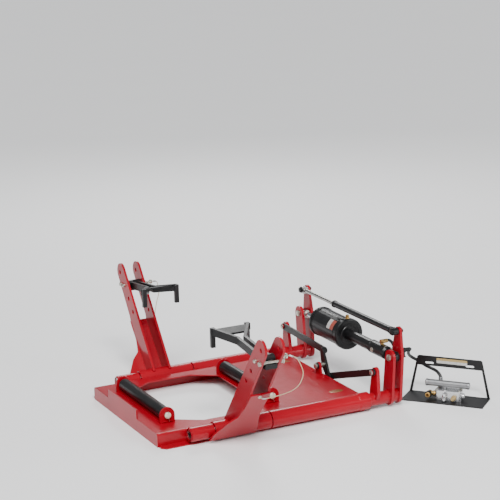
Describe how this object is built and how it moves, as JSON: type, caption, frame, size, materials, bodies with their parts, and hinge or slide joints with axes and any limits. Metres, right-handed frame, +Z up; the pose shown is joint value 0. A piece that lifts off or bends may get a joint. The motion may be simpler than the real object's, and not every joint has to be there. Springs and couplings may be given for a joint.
{
  "type": "pneumatic floor bead spreader",
  "caption": "Low red floor stand with two rollers, two leaning towers with bead hooks, an air cylinder between lever pairs and a foot valve on a hose",
  "frame": {"origin": "middle of the front foot flange's rest face, on the floor", "axes": "+X right along the torque shafts, +Y from the front wall to the back wall, +Z up"},
  "size_m": [1.1479, 1.1624, 0.3872],
  "materials": {
    "red_paint": "gloss enamel, lightly soiled",
    "black_paint": "satin black enamel",
    "bare_steel": "ground bar, oiled",
    "zinc": "zinc plated",
    "bronze": "sintered bronze",
    "brass": "turned brass",
    "valve_silver": "cast and machined",
    "hose_rubber": "smooth black"
  },
  "bodies": {
    "base": {"air_hose": "hose_rubber", "base_pan": "red_paint", "equalizer_bolt": "zinc", "equalizer_ear": "red_paint", "front_bush": "bronze", "front_sleeve": "red_paint", "front_stub_bearing": "red_paint", "inlet_elbow": "brass", "left_axle": "zinc", "left_end_plate": "red_paint", "left_roller_cradle": "red_paint", "muffler": "brass", "outlet_barb": "valve_silver", "pedal_guard": "black_paint", "rear_bush": "bronze", "rear_sleeve": "red_paint", "rear_stub_bearing": "red_paint", "right_axle": "zinc", "right_roller_cradle": "red_paint", "valve_body": "valve_silver"},
    "left_roller": {"left_roller": "black_paint"},
    "right_roller": {"right_roller": "black_paint"},
    "front_arm": {"front_cover": "red_paint", "front_cylinder_pin": "zinc", "front_detent_pin": "zinc", "front_lanyard": "zinc", "front_levers": "red_paint", "front_shaft": "bare_steel", "front_stop_bolt": "zinc", "front_strut_pin": "zinc", "front_tower": "red_paint", "hose_union": "black_paint"},
    "front_hook": {"front_hook": "black_paint"},
    "rear_arm": {"rear_cover": "red_paint", "rear_cylinder_pin": "zinc", "rear_detent_pin": "zinc", "rear_lanyard": "zinc", "rear_levers": "red_paint", "rear_shaft": "bare_steel", "rear_stop_bolt": "zinc", "rear_strut_pin": "zinc", "rear_tower": "red_paint"},
    "rear_hook": {"rear_hook": "black_paint"},
    "cylinder": {"air_whip": "hose_rubber", "barrel": "black_paint", "block_fitting": "brass", "end_block": "black_paint", "extension_tube": "black_paint", "front_cap": "black_paint", "rear_cap": "black_paint"},
    "piston_rod": {"piston": "valve_silver", "piston_rod": "bare_steel", "piston_seal": "hose_rubber"},
    "return_tube": {"return_tube": "black_paint"},
    "return_rod": {"return_rod": "bare_steel"},
    "rocker": {"rocker": "black_paint"},
    "front_link": {"front_link": "black_paint"},
    "rear_link": {"rear_link": "black_paint"},
    "treadle": {"treadle": "valve_silver", "valve_spring": "bare_steel"}
  },
  "joints": [
    {"name": "front_arm_swing", "type": "hinge", "parent": "base", "child": "front_arm", "pos_m": [0, -0.0146, 0.0335], "axis": [1, 0, 0], "range_deg": [-18, 4]},
    {"name": "rear_arm_swing", "type": "hinge", "parent": "base", "child": "rear_arm", "pos_m": [0, 0.5846, 0.0335], "axis": [1, 0, 0], "range_deg": [-4.2, 18.2]},
    {"name": "front_hook_lift", "type": "hinge", "parent": "front_arm", "child": "front_hook", "pos_m": [-0.11, -0.23354, 0.31356], "axis": [1, 0, 0], "range_deg": [0, 60]},
    {"name": "rear_hook_lift", "type": "hinge", "parent": "rear_arm", "child": "rear_hook", "pos_m": [-0.11, 0.80354, 0.31356], "axis": [-1, 0, 0], "range_deg": [0, 60]},
    {"name": "cylinder_pivot", "type": "hinge", "parent": "front_arm", "child": "cylinder", "pos_m": [0.469, -0.0283, 0.172], "axis": [1, 0, 0], "range_deg": [-4.2, 18.2]},
    {"name": "rod_stroke", "type": "slide", "parent": "cylinder", "child": "piston_rod", "axis": [0, 1, 0], "range_m": [-0.088, 0.02]},
    {"name": "strut_pivot", "type": "hinge", "parent": "front_arm", "child": "return_tube", "pos_m": [0.469, -0.0283, 0.258], "axis": [1, 0, 0], "range_deg": [-4.2, 18.2]},
    {"name": "strut_slide", "type": "slide", "parent": "return_tube", "child": "return_rod", "axis": [0, 1, 0], "range_m": [-0.1415, 0.032]},
    {"name": "rocker_pivot", "type": "hinge", "parent": "base", "child": "rocker", "pos_m": [0.3735, 0.285, 0.074], "axis": [1, 0, 0], "range_deg": [-8.45, 37.33]},
    {"name": "front_link_pivot", "type": "hinge", "parent": "front_arm", "child": "front_link", "pos_m": [0.3825, -0.0283, 0.132], "axis": [1, 0, 0], "range_deg": [-3.68, 15.88]},
    {"name": "rear_link_pivot", "type": "hinge", "parent": "rear_arm", "child": "rear_link", "pos_m": [0.3825, 0.5983, 0.132], "axis": [1, 0, 0], "range_deg": [-18.08, 4.17]},
    {"name": "left_roller_spin", "type": "hinge", "parent": "base", "child": "left_roller", "pos_m": [-0.297, 0.285, 0.0685], "axis": [0, 1, 0], "continuous": true},
    {"name": "right_roller_spin", "type": "hinge", "parent": "base", "child": "right_roller", "pos_m": [0.077, 0.285, 0.0685], "axis": [0, 1, 0], "continuous": true},
    {"name": "treadle_press", "type": "slide", "parent": "base", "child": "treadle", "axis": [0, 0, -1], "range_m": [0, 0.006], "stiffness_N_per_m": 700, "springref_m": -0.006, "deforming": ["valve_spring"]}
  ],
  "couplings": [
    {"joint": "rear_arm_swing", "follows": "front_arm_swing", "ratio": -1},
    {"joint": "cylinder_pivot", "follows": "front_arm_swing", "ratio": -1},
    {"joint": "rod_stroke", "follows": "front_arm_swing", "m_per_rad": 0.2771},
    {"joint": "strut_pivot", "follows": "front_arm_swing", "ratio": -1},
    {"joint": "strut_slide", "follows": "front_arm_swing", "m_per_rad": 0.4469},
    {"joint": "rocker_pivot", "follows": "front_arm_swing", "ratio": -2.063},
    {"joint": "front_link_pivot", "follows": "front_arm_swing", "ratio": -0.8709},
    {"joint": "rear_link_pivot", "follows": "front_arm_swing", "ratio": 0.9931}
  ]
}
